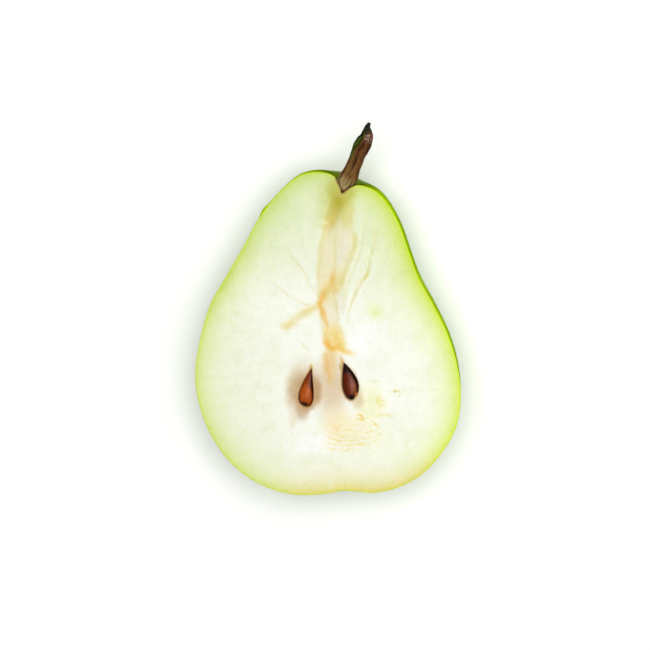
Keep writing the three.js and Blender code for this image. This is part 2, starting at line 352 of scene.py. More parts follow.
# Marks on the flesh, in the order they are laid: colour, strength, half width, feather, and
# the points they run through.
MARKS = [
    # the olive hollow under the stem, with painted shadow beside it, and the tan it runs out into
    # painted shadow: a soft grey-green band on the left lobe beside the fold under the stem
    ((208, 214, 138), 0.75, 0.8, 2.3, [
        (-3.0, 53.6, 0.5), (-3.0, 50.6), (-3.3, 47.0, 0.6), (-3.8, 43.6, 0.2),
    ]),
    # olive in the fold: partly the flesh's own colour, partly painted shade of the hollow
    ((206, 204, 104), 0.6, 0.3, 1.4, [(-1.8, 53.6, 0.4), (-1.7, 51.8, 0.9), (-1.2, 49.8)]),
    ((218, 210, 128), 0.85, 1.0, 0.9, [(1.9, 50.4, 0.4), (2.1, 48.0), (2.1, 45.4), (2.2, 43.0, 0.6)]),
    # more olive down the fold, partly the flesh's own colour and partly painted shade
    ((188, 188, 72), 0.9, 0.3, 1.5, [(3.8, 52.8, 0.3), (2.7, 51.4), (1.6, 49.8, 0.8), (0.6, 48.2, 0.4)]),
    ((184, 186, 64), 0.9, 0.25, 1.3, [(-1.5, 54.2, 0.3), (-1.2, 52.6), (-0.9, 51.0), (-0.7, 49.4, 0.6)]),
    ((190, 178, 54), 1.0, 0.25, 1.5, [
        (0.4, 50.6, 0.6), (-0.2, 49.4), (-0.8, 48.0), (-1.5, 46.2), (-2.1, 44.4, 0.7),
    ]),
    ((216, 194, 100), 0.85, 0.15, 1.1, [
        (-1.5, 46.0, 0.6), (-2.2, 44.2), (-2.8, 42.4, 0.7), (-3.2, 40.6, 0.2),
    ]),
    # the right half of the core line's strip is paler, and its edges are darker
    ((234, 229, 208), 0.85, 0.5, 0.9, [(2.3, 40.9, 0.6), (1.5, 38.0), (0.7, 35.0), (-0.1, 32.8, 0.5)]),
    ((226, 211, 142), 0.8, 0.4, 0.9, [(0.5, 30.4, 0.4), (0.2, 28.2), (0.1, 26.2, 0.7), (0.0, 24.6, 0.3)]),
    ((232, 229, 205), 0.7, 0.8, 0.7, [(0.8, 26.2, 0.2), (0.7, 24.4, 0.7), (0.7, 22.4), (0.9, 20.4, 0.5)]),
    ((226, 212, 138), 0.55, 0.1, 0.5, [
        (-3.6, 42.4, 0.6), (-4.6, 38.3), (-5.1, 34.6), (-5.3, 30.2), (-5.3, 27.0, 0.5),
    ]),
    ((228, 216, 144), 0.75, 0.25, 0.6, [
        (3.1, 43.4, 0.2), (3.8, 41.0, 0.6), (4.4, 38.9), (3.8, 36.2, 0.9), (2.7, 33.1, 0.7),
        (1.5, 29.9), (0.6, 27.0, 0.4),
    ]),
    ((222, 208, 140), 0.5, 0.1, 0.35, [(-0.8, 40.4, 0.4), (-0.9, 37.0), (-0.9, 33.5), (-1.2, 30.6, 0.7)]),
    # finer fibres left and right of it
    ((230, 216, 152), 0.6, 0.04, 0.34, [
        (-15.6, 37.2, 0.2), (-13.4, 35.6, 0.5), (-11.6, 33.5, 0.9), (-10.0, 31.6),
        (-8.9, 30.2, 0.9), (-7.9, 27.5, 0.6), (-6.6, 25.9, 0.7), (-5.1, 24.1, 0.8),
    ]),
    ((232, 220, 160), 0.7, 0.04, 0.3, [
        (-18.0, 28.6, 0.3), (-14.8, 25.7, 0.8), (-11.6, 23.6, 0.5), (-8.4, 22.0, 0.9),
        (-5.8, 21.7, 0.6),
    ]),
    ((229, 218, 148), 0.65, 0.06, 0.36, [
        (10.4, 43.6, 0.2), (9.6, 40.9, 0.8), (8.9, 36.8), (7.9, 34.0, 0.6), (7.7, 31.2),
        (6.1, 28.4, 0.8), (4.1, 24.3), (2.8, 20.8, 0.7), (2.3, 18.0, 0.3),
    ]),
    ((210, 198, 98), 0.7, 0.05, 0.3, [(8.6, 32.2, 0.2), (7.8, 30.6), (6.9, 29.2, 0.9), (6.0, 27.7, 0.3)]),
    ((231, 222, 160), 0.6, 0.04, 0.34, [
        (7.4, 45.2, 0.3), (6.4, 41.0, 0.8), (5.8, 37.0, 0.5), (4.8, 33.4, 0.9), (3.2, 29.2, 0.6),
        (1.9, 26.2), (1.3, 22.0, 0.4),
    ]),
    ((234, 228, 172), 0.55, 0.04, 0.3, [
        (6.2, 31.4, 0.3), (5.2, 28.6, 0.9), (4.0, 25.4, 0.7), (3.2, 22.4, 0.3),
    ]),
    ((234, 238, 196), 0.6, 0.03, 0.3, [(10.4, 29.6, 0.3), (8.8, 26.8, 0.8), (7.2, 24.2, 0.5)]),
    ((234, 238, 196), 0.6, 0.03, 0.3, [(12.4, 28.2, 0.3), (10.8, 25.6, 0.8), (9.4, 23.6, 0.4)]),
    # the branch to the left, with its blunt end
    ((238, 228, 178), 0.85, 0.35, 0.9, [
        (-5.4, 22.0, 0.6), (-7.4, 20.8), (-9.4, 19.7, 0.9), (-10.8, 18.7), (-12.0, 17.6),
        (-13.2, 16.7), (-14.8, 16.3, 0.6),
    ]),
    ((234, 206, 120), 0.75, 0.06, 0.5, [
        (-5.0, 22.2, 0.8), (-6.6, 21.3, 0.7), (-8.6, 20.4, 0.8), (-10.4, 19.5, 0.3),
    ]),
    ((238, 218, 138), 0.6, 0.2, 0.7, [(-12.4, 17.4, 0.5), (-13.4, 16.7), (-14.3, 16.4, 0.5)]),
    # the browned streak down the core line
    ((243, 236, 214), 0.75, 0.6, 0.9, [
        (-2.9, 22.8, 0.4), (-2.3, 20.8), (-1.8, 18.8, 0.8), (-1.5, 17.4, 0.3),
    ]),
    ((238, 218, 158), 0.85, 0.7, 1.2, [
        (-1.9, 28.8, 0.3), (-2.9, 26.4), (-3.3, 24.6, 0.8), (-3.0, 22.6, 0.4),
    ]),
    ((229, 196, 102), 0.8, 0.1, 0.75, [
        (-1.2, 31.4, 0.2), (-1.5, 28.8), (-1.9, 27.4, 0.8), (-3.2, 25.8, 0.8), (-4.1, 24.4),
    ]),
    ((232, 192, 98), 0.75, 0.06, 0.55, [
        (-1.5, 30.6, 0.2), (-1.7, 29.2, 0.8), (-1.5, 27.8), (-0.8, 26.3), (-0.4, 25.2, 0.3),
    ]),
    ((212, 194, 108), 0.8, 0.03, 0.3, [
        (-1.4, 25.8, 0.5), (-0.7, 22.4, 0.9), (-0.3, 20.2, 0.7), (0.0, 18.2, 0.3),
    ]),
    ((238, 188, 84), 0.95, 0.1, 0.66, [
        (-3.8, 26.0, 0.3), (-4.5, 23.8), (-4.8, 21.9), (-4.1, 19.9, 0.9), (-3.6, 18.4, 0.5),
    ]),
    ((238, 196, 112), 0.9, 0.08, 0.5, [
        (-3.9, 19.0, 0.8), (-3.3, 17.3), (-3.1, 15.8, 0.8), (-3.5, 14.2), (-3.0, 12.9, 0.6),
    ]),
    ((247, 221, 146), 0.95, 1.1, 1.4, [(-1.3, 16.2, 0.2), (-1.2, 14.6, 0.8), (-1.0, 13.0), (-0.7, 11.9)]),
    ((242, 206, 108), 0.45, 0.3, 0.8, [(-0.9, 15.0, 0.4), (-0.4, 13.0), (0.6, 11.4, 0.6)]),
    ((242, 180, 64), 0.95, 0.12, 0.72, [
        (-3.6, 13.0, 0.4), (-2.9, 11.7), (-2.0, 10.8), (-1.1, 10.8, 0.8), (-0.2, 11.1, 0.5),
    ]),
    ((243, 200, 92), 0.85, 0.08, 0.7, [(0.0, 11.2, 0.8), (1.2, 10.4), (2.4, 9.8, 0.8), (4.3, 9.2, 0.2)]),
    ((238, 203, 140), 0.85, 0.6, 1.2, [(-2.3, 10.0, 0.3), (-2.4, 8.0), (-2.3, 5.4, 0.8), (-2.0, 2.4, 0.2)]),
    ((230, 186, 108), 0.7, 0.08, 0.6, [
        (-3.4, 9.2, 0.5), (-3.2, 6.6, 0.9), (-2.7, 4.4), (-2.3, 2.4, 0.6), (-1.7, 0.6, 0.2),
    ]),
    # a little green left in the flesh on the right, and the faint line down to the calyx
    ((234, 243, 192), 0.8, 0.6, 1.5, [(8.6, 21.4, 0.7), (9.8, 20.7), (10.9, 20.2, 0.6)]),
    ((224, 240, 154), 0.5, 0.2, 0.7, [(9.7, 20.4, 0.8), (10.5, 20.0, 0.8)]),
    ((239, 243, 214), 0.6, 0.1, 0.4, [(-1.8, -16.4, 0.4), (-2.0, -20.4), (-2.1, -26.0)]),
    # the torn edge where the stem's foot meets the flesh
    ((158, 112, 42), 1.0, 0.08, 0.26, [
        (-1.0, 55.4, 0.4), (-0.5, 54.6), (0.0, 53.5), (0.8, 51.5), (1.9, 52.0), (3.2, 53.0),
        (4.4, 53.4, 0.4),
    ]),
    ((206, 176, 88), 0.8, 0.1, 0.34, [(0.5, 51.2, 0.6), (0.7, 50.6, 0.9), (0.9, 49.9, 0.4)]),
]

# Soft browning about the seeds: colour, strength, middle, reach across and along, turn.
STAINS = [
    ((228, 217, 190), 0.75, (-9.3, 2.2), (5.4, 7.4), -0.1),
    ((222, 200, 166), 0.92, (-1.9, 0.8), (5.4, 9.8), 0.0),
    ((206, 181, 142), 0.85, (-11.3, -0.6), (3.2, 6.8), -0.1),
    ((194, 155, 108), 0.92, (-5.7, -0.8), (1.6, 4.2), 0.0),
    ((204, 176, 146), 0.75, (-9.7, -6.2), (2.4, 2.9), -0.35),
    ((236, 222, 196), 0.6, (-12.1, -7.6), (1.4, 3.4), -0.1),
    ((247, 231, 190), 0.8, (-0.6, -9.2), (4.8, 5.6), 0.2),
    ((250, 241, 210), 0.7, (3.6, -11.0), (7.0, 6.0), 0.3),
    ((249, 247, 206), 0.75, (8.4, -3.4), (5.0, 6.8), 0.1),
    ((225, 206, 162), 0.8, (5.0, -2.4), (2.2, 3.4), 0.2),
    ((254, 254, 252), 0.8, (6.4, 13.0), (6.6, 5.4), 0.5),
    ((254, 254, 252), 0.6, (-7.0, -14.4), (7.0, 4.0), 0.2),
    ((246, 248, 222), 0.6, (11.0, -13.5), (5.0, 5.0), 0.5),
]
# The halo about each pocket: colour, strength, reach, height where it fades out.
HALOS = [
    ((192, 154, 110), 0.9, 2.7, 6.6),
    ((220, 196, 164), 0.4, 1.5, 9.0),
]

# Gritty flecks of stone cells and torn fibre: colour, strength, size and point.
FLECKS = [
    ((238, 190, 76), 0.9, 0.22, [(5.0, -6.4, 0.4), (5.9, -6.9), (6.7, -7.8, 0.6)]),
    ((242, 206, 110), 0.7, 0.16, [(5.2, -7.6, 0.5), (6.2, -7.9)]),
    ((240, 206, 96), 0.7, 0.18, [(9.0, -8.2, 0.4), (9.9, -8.9), (10.6, -9.7, 0.5)]),
    ((236, 222, 120), 0.6, 0.3, [(10.6, -1.2, 0.3), (10.4, -2.6), (10.8, -4.0, 0.6), (10.6, -5.2, 0.3)]),
    ((232, 226, 130), 0.6, 0.2, [(10.2, -3.2, 0.5), (11.6, -3.9), (13.2, -4.1, 0.3)]),
    ((238, 228, 150), 0.55, 0.25, [(9.6, -7.0, 0.5), (11.2, -6.3), (12.9, -6.6), (14.4, -7.0, 0.4)]),
    ((230, 222, 120), 0.7, 0.16, [(13.6, -0.4, 0.4), (14.6, 0.2), (15.6, -0.2), (16.4, -0.9, 0.5)]),
    ((186, 184, 70), 0.8, 0.09, [(14.9, -0.3), (15.0, -0.4)]),
    ((186, 184, 70), 0.8, 0.08, [(15.9, -1.4), (15.95, -1.5)]),
    ((206, 204, 90), 0.8, 0.08, [(15.6, -0.3), (15.7, -0.25)]),
    ((234, 222, 110), 0.6, 0.14, [(10.8, -2.2, 0.4), (11.4, -2.8), (12.4, -3.0, 0.3)]),
    ((250, 216, 140), 0.6, 0.2, [(-1.8, -9.2, 0.4), (-0.8, -10.4), (0.3, -11.6, 0.4)]),
    ((238, 222, 120), 0.7, 0.14, [(-2.6, -15.2, 0.4), (-1.8, -15.7), (-0.6, -15.5, 0.4)]),
    ((240, 220, 120), 0.7, 0.14, [(1.0, -15.8, 0.4), (2.2, -15.9), (3.6, -15.7, 0.4)]),
    ((232, 234, 150), 0.6, 0.14, [(9.6, -16.2, 0.4), (10.8, -16.8, 0.4)]),
    ((240, 226, 150), 0.5, 0.2, [(8.4, 2.4, 0.4), (9.6, 2.2), (11.0, 2.4, 0.4)]),
    ((220, 232, 160), 0.6, 0.14, [(-9.4, 11.8), (-8.4, 10.6), (-7.4, 9.9, 0.5)]),
    ((70, 60, 20), 0.7, 0.05, [(-5.6, 6.5), (-5.55, 6.45)]),
]


SHAKE = (3.0, 1.0)  # the point that the knife's arcs lie about
SHAKE_STEP = 1.3


def chatter(xy):
    """Arcs left where the blade shook over the gritty core: the crests of a sine of the distance
    from a point above them, one step apart, that waver and break up along their length. They
    show from 6.6 to 17.6 mm from that point, in a fan below it."""
    x, y = xy.T
    r = np.hypot((x - SHAKE[0]) * 0.95, y - SHAKE[1])
    a = np.arctan2(x - SHAKE[0], SHAKE[1] - y)
    r = r + 0.3 * np.sin(3.1 * a + 0.8) + 0.16 * np.sin(9 * a + 1.3 * r) + 0.09 * np.sin(27 * a + 2)
    line = 0.5 + 0.5 * np.sin(2 * np.pi * r / SHAKE_STEP)
    broken = 0.55 + 0.4 * np.sin(9 * a + 4.1 * r) * np.sin(15 * a - 2.3 * r + 1)
    broken = broken + 0.4 * np.sin(47 * a + 6 * r) * np.sin(31 * a - 5 * r)
    zone = smooth(6.6, 9.5, r) * smooth(17.6, 16.2, r) * smooth(-0.52, -0.34, a) * smooth(0.78, 0.45, a)
    return line**2.5 * np.clip(broken, 0, 1) * zone * (0.55 + 0.45 * smooth(10, 15, r))


def linear(colour):
    """Screen values from 0 to 255 as the linear values that a shader takes."""
    c = np.clip(np.asarray(colour, float) / 255, 0, 1)
    return np.where(c <= 0.04045, c / 12.92, ((c + 0.055) / 1.055) ** 2.4)


# The pale strip of the core line: y, its left edge and its right edge.
STRIP = np.array([
    [12.0, -3.6, 2.4],
    [16.5, -4.8, 0.6],
    [20.4, -5.2, -0.4],
    [24.3, -5.6, -0.2],
    [28.2, -5.6, 0.4],
    [32.2, -5.5, 2.0],
    [36.1, -5.4, 3.4],
    [40.0, -4.8, 3.6],
    [43.9, -4.0, 3.0],
    [48.0, -2.8, 2.6],
])

# Golden tissue that caps each seed's tip.
CAPS = [
    ((210, 154, 76), 0.9, [(-7.3, 6.3, 0.4), (-7.3, 5.6), (-7.3, 5.0, 0.8)]),
    ((222, 172, 88), 0.8, [(0.6, 8.7, 0.3), (0.8, 7.9, 0.9), (1.0, 7.2)]),
    ((196, 160, 78), 0.8, [(0.5, 7.0, 0.3), (0.5, 5.9), (0.7, 4.8, 0.3)]),
]

FLESH_LIGHT = 0.87  # the share of the light that the palest flesh sends back


def flesh_colours(xy, rim, gaps):
    """The cut face's colour at every point, as linear red, green and blue."""
    loose = wander(xy, 0.09)
    colour = flesh_ground(xy, rim)
    x, y = loose.T
    strip = smooth(-0.8, 0.9, x - np.interp(y, STRIP[:, 0], STRIP[:, 1]))
    strip = strip * smooth(-0.6, 0.8, np.interp(y, STRIP[:, 0], STRIP[:, 2]) - x)
    colour = blend(colour, (235, 225, 182), 0.8 * strip * smooth(9, 14, y) * smooth(48, 42, y))
    for tint, strength, middle, reach, turn in STAINS:
        dx, dy = (loose - middle).T
        c, s = np.cos(turn), np.sin(turn)
        far = np.hypot((dx * c + dy * s) / reach[0], (dy * c - dx * s) / reach[1])
        colour = blend(colour, tint, strength * smooth(1.15, 0.25, far))
    for (tint, strength, reach, top), gap in zip(HALOS, gaps):
        uneven = gap / (0.85 + 0.25 * np.sin(0.9 * x - 0.5 * y + 1) + 0.12 * np.sin(2.3 * x + 1.7 * y))
        colour = blend(colour, tint, strength * smooth(reach, 0, uneven) * smooth(top, top - 5, y))
    for tint, strength, half, feather, points in MARKS:
        fine = patchy(xy, half) if feather < 0.6 else 0.85 + 0.15 * patchy(xy, half)
        colour = blend(colour, tint, strength * stroke(loose, points, half, feather) * fine)
    for tint, strength, size, points in FLECKS:
        colour = blend(colour, tint, strength * stroke(wander(xy, 0.16), points, size * 0.4, size * 1.1))
    colour = blend(colour, (241, 217, 116), 0.8 * chatter(wander(xy, 0.12)))
    for gap in gaps:
        colour = blend(colour, (222, 184, 128), 0.6 * smooth(0.5, 0.05, np.abs(gap)))
        colour = blend(colour, (146, 80, 34), smooth(0.02, -0.5, gap))
    for tint, strength, points in CAPS:
        colour = blend(colour, tint, strength * stroke(xy, points, 0.08, 0.36))
    return FLESH_LIGHT * linear(colour)


# ---- The fruit: its mesh ------------------------------------------------------------------
# One closed skin: the outside as a grid of place and across, and the cut face as rings about
# the core, circles near it that turn into the outline, so the pockets get the finest cells.

CORE = np.array([-2.6, 6.0])
DISC = 17.0  # the rings are circles out to here
DISC_RINGS, RINGS = 70, 128


def build(name, points, faces, sides=None):
    """A mesh object in the fruit's place from points in its own millimetres and from blocks of
    faces. Points that no face uses are left out. sides gives each block its material's number."""
    used = np.zeros(len(points), bool)
    used[np.concatenate([block.ravel() for block in faces])] = True
    number = np.cumsum(used) - 1
    mesh = bpy.data.meshes.new(name)
    mesh.from_pydata((points[used] + PLACE) * MM, [], sum((number[block].tolist() for block in faces), []))
    mesh.polygons.foreach_set("use_smooth", np.ones(len(mesh.polygons), bool))
    if sides is not None:
        slots = np.repeat(sides, [len(block) for block in faces])
        mesh.polygons.foreach_set("material_index", slots.astype(np.int32))
    made = bpy.data.objects.new(name, mesh)
    bpy.context.scene.collection.objects.link(made)
    return made, used


def paint(piece, name, values):
    """Stores one number, or one linear colour, for each of the piece's points."""
    values = np.asarray(values, np.float32)
    if values.ndim == 1:
        piece.data.attributes.new(name, "FLOAT", "POINT").data.foreach_set("value", values)
        return
    colour = np.column_stack([values, np.ones(len(values), np.float32)])
    piece.data.attributes.new(name, "FLOAT_COLOR", "POINT").data.foreach_set("color", colour.ravel())


def grid_faces(ids):
    """Quads between the rows and columns of a grid of point numbers."""
    return np.stack([ids[:-1, :-1], ids[1:, :-1], ids[1:, 1:], ids[:-1, 1:]], -1).reshape(-1, 4)


def fruit_skin():
    """Points and faces of the outside, with the rim's point numbers all the way round."""
    floors = np.array(HOLLOW_FLOOR), np.array(BASIN_FLOOR)
    above, below = len(floors[0]), len(floors[1])
    place = np.concatenate([np.zeros(above), places, np.ones(below)])
    share = np.concatenate([floors[0][:, 0], np.ones(ROWS), floors[1][:, 0]])
    rise = np.concatenate([floors[0][:, 1], np.zeros(ROWS), floors[1][:, 1]])
    across = np.linspace(0, 1, COLUMNS)[None, :]
    points = pressed(skin_surface(place[:, None], across, share[:, None], rise[:, None]))
    ids = np.arange(points[..., 0].size).reshape(len(place), COLUMNS)
    closed = np.r_[0:above + 1, above + ROWS - 1:len(place)]
    ids[closed, -1] = ids[closed, 0]
    middles = np.stack([points[0].mean(0), points[-1].mean(0)])
    points = np.concatenate([points.reshape(-1, 3), middles])
    top, end = np.full(COLUMNS - 1, ids.size), np.full(COLUMNS - 1, ids.size + 1)
    faces = [
        grid_faces(ids),
        np.stack([top, ids[0, :-1], ids[0, 1:]], -1),
        np.stack([ids[-1, :-1], end, ids[-1, 1:]], -1),
    ]
    right, left = ids[above:above + ROWS, 0], ids[above:above + ROWS, -1]
    return points, faces, np.concatenate([right, left[-2:0:-1]])


def cut_plane(first):
    """Plane points and point numbers of the cut face's rings inside the rim. A ring's reach is
    disc times its number out to the disc, and then disc + (far - disc) (1.25 v - 0.25 v^3)."""
    rim = np.concatenate([rim_right, rim_left[-2:0:-1]])
    out = rim - CORE
    far = np.hypot(out[:, 0], out[:, 1])
    ring = np.arange(1, RINGS)[:, None]
    v = np.clip((ring - DISC_RINGS) / (RINGS - DISC_RINGS), 0, 1)
    outer = DISC + (far - DISC) * (1.25 * v - 0.25 * v**3)
    reach = np.where(ring <= DISC_RINGS, DISC * ring / DISC_RINGS, outer)
    plane = CORE + (out / far[:, None]) * reach[..., None]
    ids = first + np.arange(reach.size).reshape(reach.shape)
    return np.vstack([plane.reshape(-1, 2), CORE]), ids


skin_points, skin_faces, rim_loop = fruit_skin()
plane, ring_ids = cut_plane(len(skin_points))
gaps = [pocket_distance(plane, seed, POCKET_GROW) for seed in SEEDS.values()]
cut_points = np.column_stack([plane, -relief(plane, gaps)])
ring_ids = np.vstack([ring_ids, rim_loop])
ring_ids = np.column_stack([ring_ids, ring_ids[:, 0]])
heart = np.full(len(rim_loop), len(skin_points) + len(plane) - 1)
cut_faces = [
    grid_faces(ring_ids)[:, ::-1],
    np.stack([heart, ring_ids[0, 1:], ring_ids[0, :-1]], -1),
]
fruit_points = np.concatenate([skin_points, cut_points])
fruit, kept = build("pear_half_grown", fruit_points, skin_faces + cut_faces, [0, 0, 0, 1, 1])

fine_right, fine_left, _ = outline(np.linspace(0, 1, 1500))
rim_gap = np.zeros(len(fruit_points))
rim_gap[len(skin_points):] = distance_to(plane, np.vstack([fine_right, fine_left]))
flesh = np.tile(linear((220, 232, 140)), (len(fruit_points), 1))
flesh[len(skin_points):] = flesh_colours(plane, rim_gap[len(skin_points):], gaps)
on_rim = fruit_points[rim_loop, :2]
no_pocket = np.full(len(on_rim), 9.0)
flesh[rim_loop] = flesh_colours(on_rim, np.zeros(len(on_rim)), [no_pocket, no_pocket])
paint(fruit, "flesh", flesh[kept])
# the stem's foot covers the rim in the notch, so no green shows there
notch = np.hypot(fruit_points[:, 0] - 0.9, fruit_points[:, 1] - 52.6)
paint(fruit, "rim", (rim_gap + 2 * smooth(3.4, 2.2, notch))[kept])


# ---- The fruit: what its surfaces are made of ---------------------------------------------
# The skin is thin, green and waxy, with pale pores all over and russet at both ends. The
# flesh is wet and a little clear, with fine grain and faint fibres that fan out of the core.


def shader(name):
    """A new material, its node tree, and the Principled shader in it."""
    material = bpy.data.materials.new(name)
    material.use_nodes = True
    return material, material.node_tree, material.node_tree.nodes["Principled BSDF"]


def put(tree, kind, out, sockets=None, **settings):
    """Adds a node, joins or sets its sockets, and gives back the output named or numbered out."""
    made = tree.nodes.new("ShaderNode" + kind)
    for key, value in settings.items():
        setattr(made, key, value)
    for key, value in (sockets or {}).items():
        if isinstance(value, bpy.types.NodeSocket):
            tree.links.new(value, made.inputs[key])
        else:
            made.inputs[key].default_value = value
    return made.outputs[out]


def sums(tree, operation, a, b, c=None):
    """One step of arithmetic."""
    sockets = {0: a, 1: b} if c is None else {0: a, 1: b, 2: c}
    return put(tree, "Math", 0, sockets, operation=operation)


def ramp(tree, value, low, high, start=0.0, end=1.0):
    """Runs smoothly from start, where value is low, to end, where it is high."""
    sockets = {"Value": value, "From Min": low, "From Max": high, "To Min": start, "To Max": end}
    return put(tree, "MapRange", "Result", sockets, interpolation_type="SMOOTHSTEP")


def mixed(tree, amount, a, b, how="MIX"):
    """Colour a turned into colour b by amount; a colour may be three linear numbers."""
    a, b = (tuple(c) + (1.0,) if isinstance(c, np.ndarray) else c for c in (a, b))
    return put(tree, "Mix", 2, {0: amount, 6: a, 7: b}, data_type="RGBA", blend_type=how)


def tinted(tree, colour, tint, value, low, high, most, how="MIX"):
    """A colour turned into a tint, in screen values: not at all where value is low, and by most
    where it is high."""
    return mixed(tree, ramp(tree, value, low, high, 0, most), colour, linear(tint), how)


def noise(tree, vector, scale, detail=2.0, roughness=0.5, distortion=0.0):
    """Cloudy noise from 0 to 1, with scale in patches per metre."""
    sockets = {"Vector": vector, "Scale": scale, "Detail": detail}
    sockets |= {"Roughness": roughness, "Distortion": distortion}
    return put(tree, "TexNoise", "Fac", sockets)


def dress(tree, body, colour, height, strength, distance):
    """Joins a colour, and a bump that stands up to distance metres high, to the shader."""
    sockets = {"Height": height, "Strength": strength, "Distance": distance}
    tree.links.new(colour, body.inputs["Base Color"])
    tree.links.new(put(tree, "Bump", "Normal", sockets), body.inputs["Normal"])


def away(tree, spot, point):
    """Distance in metres from a point given in the fruit's own millimetres."""
    centre = tuple((np.array(point) + PLACE) * MM)
    return put(tree, "VectorMath", "Value", {0: spot, 1: centre}, operation="DISTANCE")


PORE_CELLS = 640.0  # to the metre


def skin_material():
    """Cloudy green with pores and russet, with painted shade round the stem and painted light
    along the cut, and duller along the cut.
    """
    material, tree, body = shader("pear_skin")
    spot = put(tree, "TexCoord", "Object")
    cloud = noise(tree, spot, 70, 3, 0.6)
    fine = noise(tree, spot, 420, 3, 0.6)
    colour = mixed(tree, ramp(tree, cloud, 0.35, 0.7), linear((140, 182, 2)), linear((164, 202, 16)))
    colour = tinted(tree, colour, (108, 152, 2), fine, 0.45, 0.75, 0.35)
    # pores: pale dots with a brown middle, one to each cell
    cells = {"Vector": spot, "Scale": PORE_CELLS, "Randomness": 1.0}
    pores = put(tree, "TexVoronoi", "Distance", cells)
    size = put(tree, "SeparateColor", 0, {0: put(tree, "TexVoronoi", "Color", cells)})
    dot = sums(tree, "SUBTRACT", pores, sums(tree, "MULTIPLY", size, 0.12))
    colour = tinted(tree, colour, (196, 212, 96), dot, 0.17, 0.05, 0.4)
    colour = tinted(tree, colour, (112, 110, 30), dot, 0.09, 0.02, 0.75)
    # russet about the stem and the calyx
    stem_end = ramp(tree, away(tree, spot, (0.8, 50.5, -5.0)), 0.007, 0.002)
    calyx_end = ramp(tree, away(tree, spot, (1.3, -25.5, -5.0)), 0.008, 0.002)
    ends = sums(tree, "MAXIMUM", stem_end, calyx_end)
    patch = sums(tree, "ADD", ends, noise(tree, spot, 260, 4, 0.7, 0.6))
    colour = tinted(tree, colour, (150, 122, 58), patch, 0.95, 1.3, 0.75)
    # painted shade round the stem, a dull scar on the left shoulder, and painted light along the cut,
    # yellower, kept off that shade
    height = put(tree, "SeparateXYZ", 2, {0: spot})
    # painted shade: the skin in the stem hollow darkened towards a deep green
    shade = ramp(tree, away(tree, spot, (1.5, 55.0, -3.0)), 0.012, 0.004, 0, 0.85)
    colour = mixed(tree, shade, colour, linear((80, 102, 4)))
    scar = ramp(tree, away(tree, spot, (-20.4, 46.6, -1.4)), 0.0032, 0.0012, 0, 0.7)
    colour = mixed(tree, scar, colour, linear((92, 112, 30)))
    # painted light: the skin band just under the cut made brighter and yellower
    by_cut = ramp(tree, height, fruit_high.z - 0.003, fruit_high.z)
    painted_cut_light = sums(tree, "MULTIPLY", by_cut, sums(tree, "SUBTRACT", 1.0, shade))
    colour = mixed(tree, painted_cut_light, colour, linear((178, 214, 6)))
    # the bloom is rubbed dull along the cut, and waxy further round
    gloss = ramp(tree, height, fruit_high.z - 0.004, fruit_high.z - 0.016, 0.0, 0.35)
    tree.links.new(gloss, body.inputs["Specular IOR Level"])
    body.inputs["Roughness"].default_value = 0.42
    raised = sums(tree, "ADD", ramp(tree, dot, 0.16, 0.0, 0, 1.0), sums(tree, "MULTIPLY", fine, 0.8))
    dress(tree, body, colour, raised, 0.35, 0.00012)
    return material


def flesh_material():
    """The painted colours of the cut, clouded, grained and faintly streaked, and wet."""
    material, tree, body = shader("pear_flesh")
    spot = put(tree, "TexCoord", "Object")
    colour = put(tree, "Attribute", "Color", attribute_name="flesh")
    rim = put(tree, "Attribute", "Fac", attribute_name="rim")
    # fibres: noise on the direction from the core, so that each streak runs straight out of it
    heart = tuple((np.array([-2.6, 2.0, 0.0]) + PLACE) * MM)
    arm = put(tree, "VectorMath", "Vector", {0: spot, 1: heart}, operation="SUBTRACT")
    length = put(tree, "VectorMath", "Value", {0: arm}, operation="LENGTH")
    toward = put(tree, "VectorMath", "Vector", {0: arm}, operation="NORMALIZE")
    turned = put(tree, "VectorMath", "Vector", {0: toward, "Scale": 16.0}, operation="SCALE")
    out = put(tree, "CombineXYZ", 0, {"Z": sums(tree, "MULTIPLY", length, 70.0)})
    where = put(tree, "VectorMath", "Vector", {0: turned, 1: out}, operation="ADD")
    streaks = noise(tree, where, 1.0, 3, 0.6)
    zone = sums(tree, "MULTIPLY", ramp(tree, length, 0.008, 0.016), ramp(tree, rim, 1.0, 5.0))
    streaks = sums(tree, "MULTIPLY", ramp(tree, streaks, 0.46, 0.72), zone)
    colour = mixed(tree, sums(tree, "MULTIPLY", streaks, 0.04), colour, linear((246, 247, 240)))
    cloud = noise(tree, spot, 210, 4, 0.62, 0.5)
    colour = tinted(tree, colour, (238, 245, 222), cloud, 0.42, 0.7, 0.4, "MULTIPLY")
    patch = noise(tree, spot, 620, 3, 0.6, 0.8)
    colour = tinted(tree, colour, (240, 246, 224), patch, 0.5, 0.66, 0.3, "MULTIPLY")
    cells = put(tree, "TexVoronoi", "Distance", {"Vector": spot, "Scale": 1900.0, "Randomness": 1.0})
    grain = noise(tree, spot, 1300, 3, 0.7)
    colour = tinted(tree, colour, (224, 228, 190), grain, 0.5, 0.8, 0.22, "MULTIPLY")
    colour = tinted(tree, colour, (196, 222, 24), rim, 0.3, 0.05, 0.75)
    wet = noise(tree, spot, 600, 2)
    tree.links.new(ramp(tree, wet, 0.3, 0.7, 0.3, 0.5), body.inputs["Roughness"])
    body.inputs["Specular IOR Level"].default_value = 0.3
    body.inputs["Subsurface Weight"].default_value = 0.2
    body.inputs["Subsurface Radius"].default_value = (1.0, 0.9, 0.5)
    body.inputs["Subsurface Scale"].default_value = 0.0012
    height = sums(tree, "ADD", sums(tree, "MULTIPLY", cells, 0.5), grain)
    height = sums(tree, "ADD", height, sums(tree, "MULTIPLY", streaks, 0.35))
    dress(tree, body, colour, height, 0.3, 0.0001)
    return material


fruit.data.materials.append(skin_material())
fruit.data.materials.append(flesh_material())
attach(fruit, "root")
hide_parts("pear_half")
